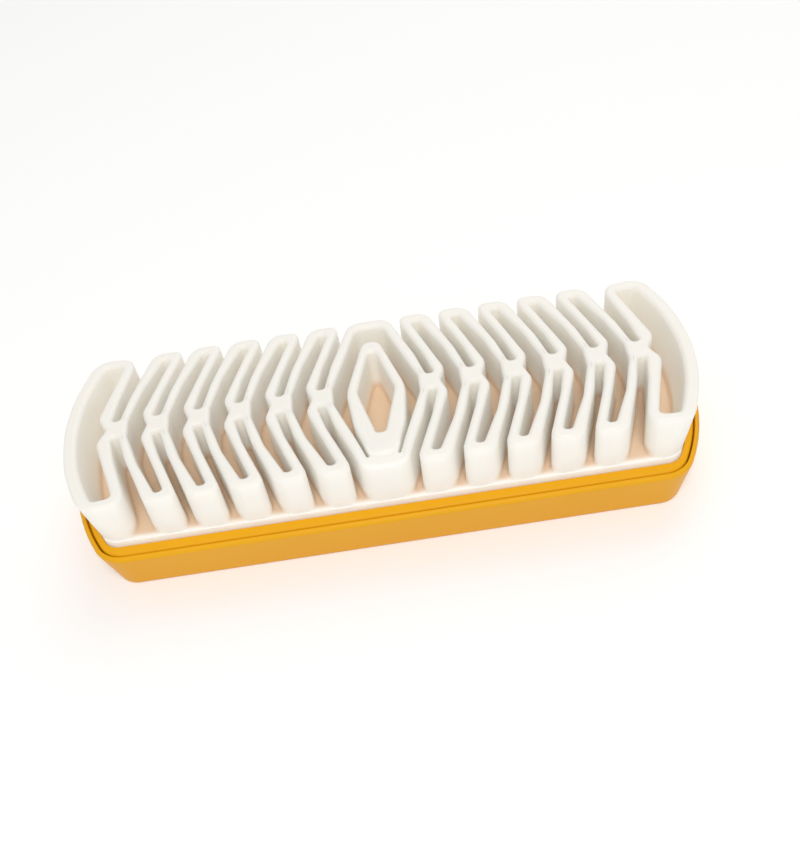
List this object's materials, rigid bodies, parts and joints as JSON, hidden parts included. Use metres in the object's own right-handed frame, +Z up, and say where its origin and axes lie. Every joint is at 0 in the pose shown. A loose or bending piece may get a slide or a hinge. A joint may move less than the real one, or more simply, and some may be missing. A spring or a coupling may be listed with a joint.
{
  "type": "suede brush",
  "caption": "Hand brush for suede: a white rubber pad of tall folded chevron walls round a diamond, held by a frame in a hollow yellow plastic handle.",
  "frame": {"origin": "under the middle of the brush, on the flat back that it lies on", "axes": "+X along the brush, +Y across it to the side of the diamond's free tip, +Z up through the rubber walls"},
  "size_m": [0.1296, 0.0482, 0.0234],
  "materials": {
    "yellow_plastic": "smooth moulded, satin gloss",
    "white_rubber": "matt moulded, slightly translucent"
  },
  "bodies": {
    "root": {"handle_shell": "yellow_plastic", "pad_frame": "yellow_plastic", "rubber_pad": "white_rubber"}
  },
  "joints": []
}
